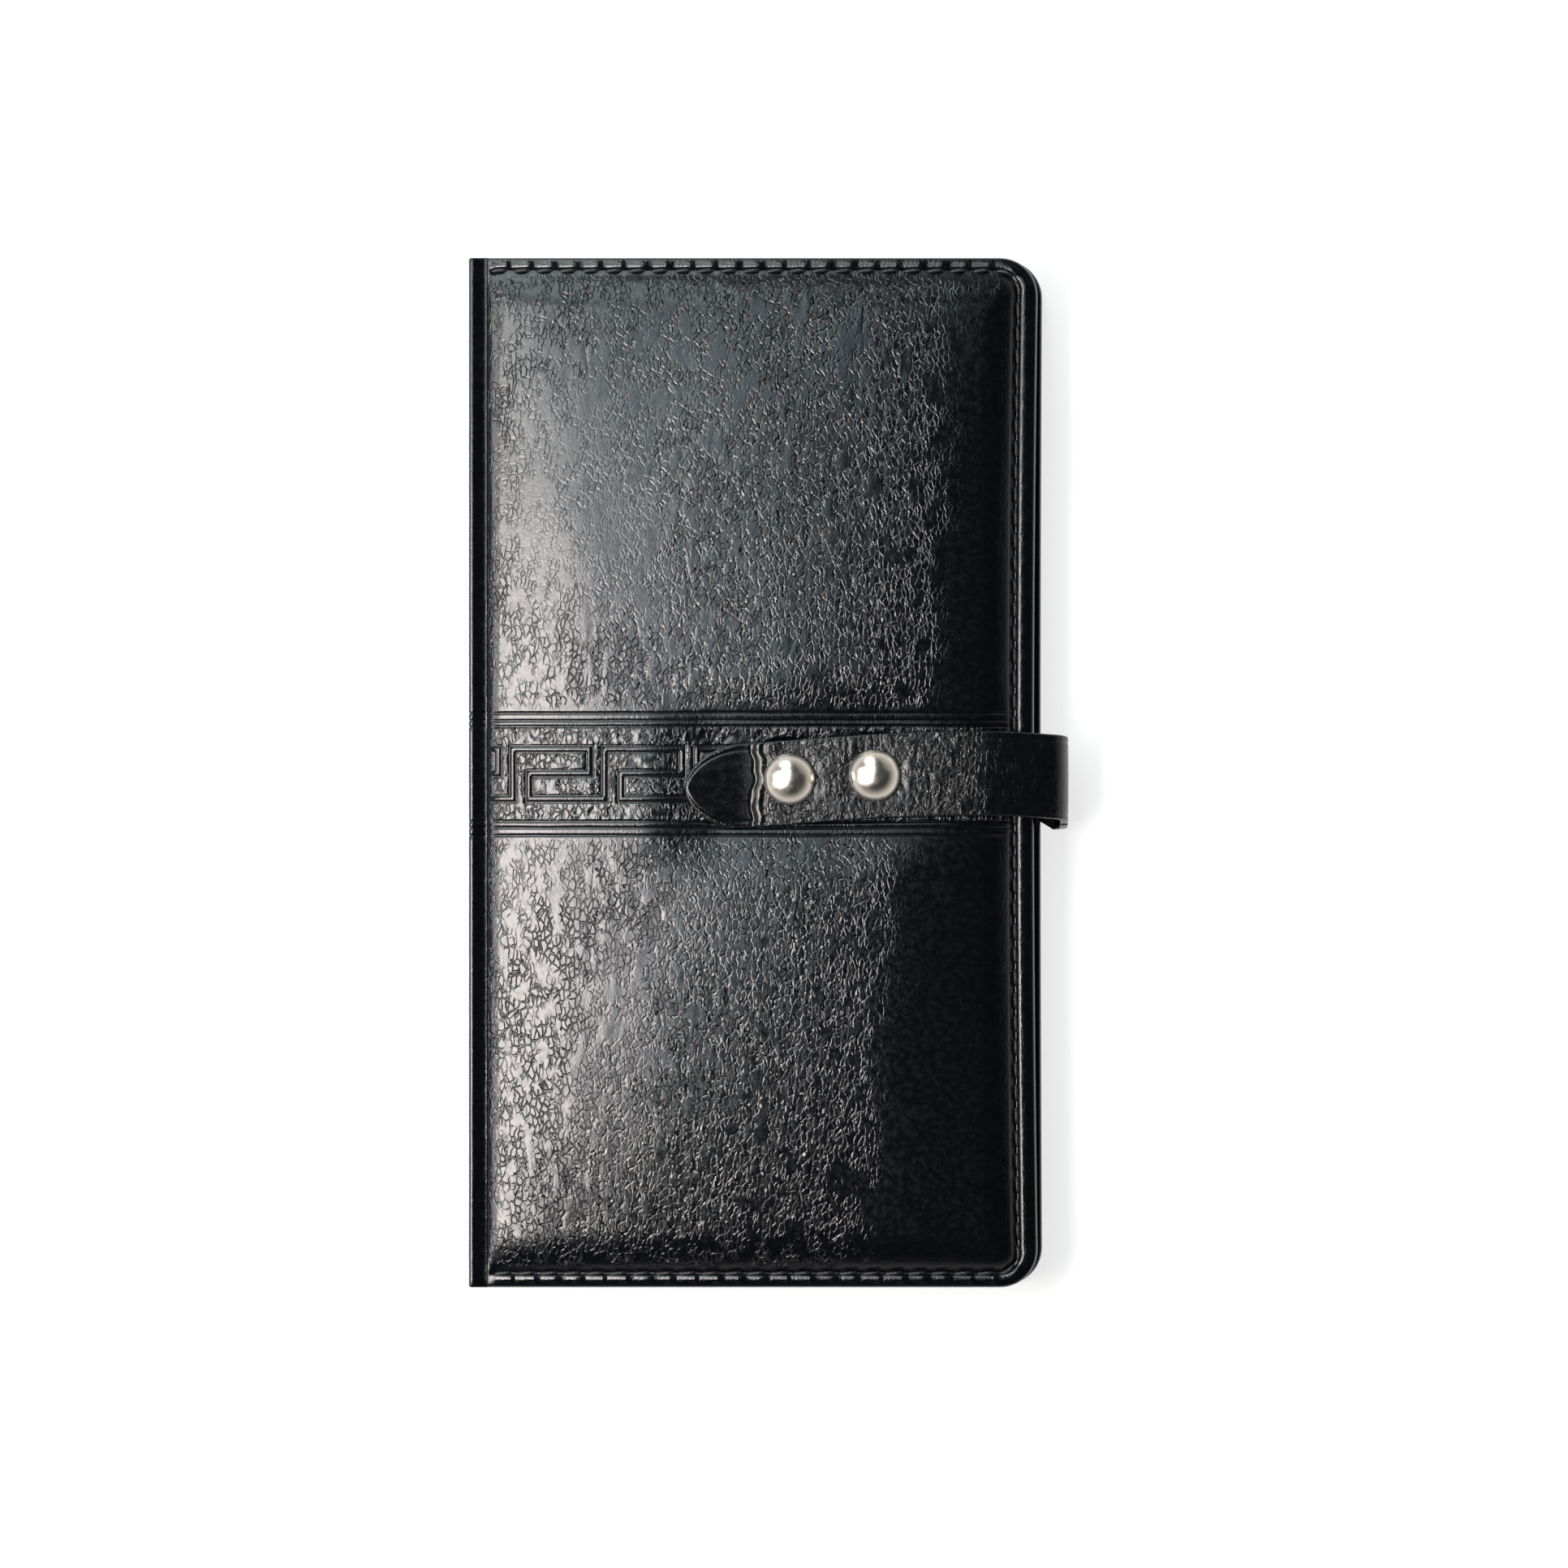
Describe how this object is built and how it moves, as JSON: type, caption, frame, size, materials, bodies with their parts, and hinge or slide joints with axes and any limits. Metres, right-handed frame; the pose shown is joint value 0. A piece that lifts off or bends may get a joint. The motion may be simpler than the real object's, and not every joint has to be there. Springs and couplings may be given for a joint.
{
  "type": "leather notebook cover",
  "caption": "Padded leather notebook cover with a raised fret band and a strap with snap fasteners, holding a slim paper insert.",
  "frame": {"origin": "middle of the back cover's padded face, which lies on the table", "axes": "+X from spine to fore-edge, +Y towards the head, +Z from back cover to front cover"},
  "size_m": [0.1096, 0.188, 0.0235],
  "materials": {
    "cover_leather": "glossy, creased",
    "strap_leather": "semi-gloss",
    "lining": "fine weave",
    "foam": "foam",
    "board": "matte",
    "thread": "waxed",
    "paper": "matte",
    "card": "matte",
    "cap_metal": "polished nickel",
    "snap_metal": "satin nickel"
  },
  "bodies": {
    "back_cover": {"back_leather": "cover_leather", "back_foam": "foam", "back_board": "board", "back_lining": "lining", "back_sleeve": "lining", "back_stitching": "thread", "insert_back_card": "card", "insert_spine_card": "card", "page_block": "paper", "strap_root": "strap_leather"},
    "spine": {"spine_leather": "cover_leather", "spine_board": "board", "spine_lining": "lining"},
    "front_cover": {"front_leather": "cover_leather", "front_foam": "foam", "front_board": "board", "front_lining": "lining", "front_sleeve": "lining", "front_stitching": "thread", "stud_left": "snap_metal", "stud_right": "snap_metal", "stud_post_left": "snap_metal", "stud_post_right": "snap_metal"},
    "front_leaves": {"insert_front_card": "card", "front_pages": "paper"},
    "strap_side": {"strap_side": "strap_leather"},
    "strap_flap": {"strap_flap": "strap_leather", "snap_cap_left": "cap_metal", "snap_cap_right": "cap_metal", "snap_socket_left": "snap_metal", "snap_socket_right": "snap_metal", "spring_ring_left": "snap_metal", "spring_ring_right": "snap_metal"}
  },
  "joints": [
    {"name": "spine_fold", "type": "hinge", "parent": "back_cover", "child": "spine", "pos_m": [-0.05147, 0, 0.00282], "axis": [0, -1, 0], "range_deg": [0, 89]},
    {"name": "cover_open", "type": "hinge", "parent": "spine", "child": "front_cover", "pos_m": [-0.05147, 0, 0.01477], "axis": [0, -1, 0], "range_deg": [0, 89]},
    {"name": "leaves_turn", "type": "hinge", "parent": "back_cover", "child": "front_leaves", "pos_m": [-0.0483, 0, 0.01085], "axis": [0, -1, 0], "range_deg": [0, 180]},
    {"name": "strap_side_fold", "type": "hinge", "parent": "back_cover", "child": "strap_side", "pos_m": [0.05575, 0, 0.00385], "axis": [0, 1, 0], "range_deg": [0, 88]},
    {"name": "strap_flap_fold", "type": "hinge", "parent": "strap_side", "child": "strap_flap", "pos_m": [0.05575, 0, 0.01665], "axis": [0, 1, 0], "range_deg": [0, 85]}
  ],
  "couplings": [
    {"joint": "cover_open", "follows": "spine_fold", "ratio": 1},
    {"joint": "leaves_turn", "follows": "spine_fold", "ratio": 2.02}
  ]
}
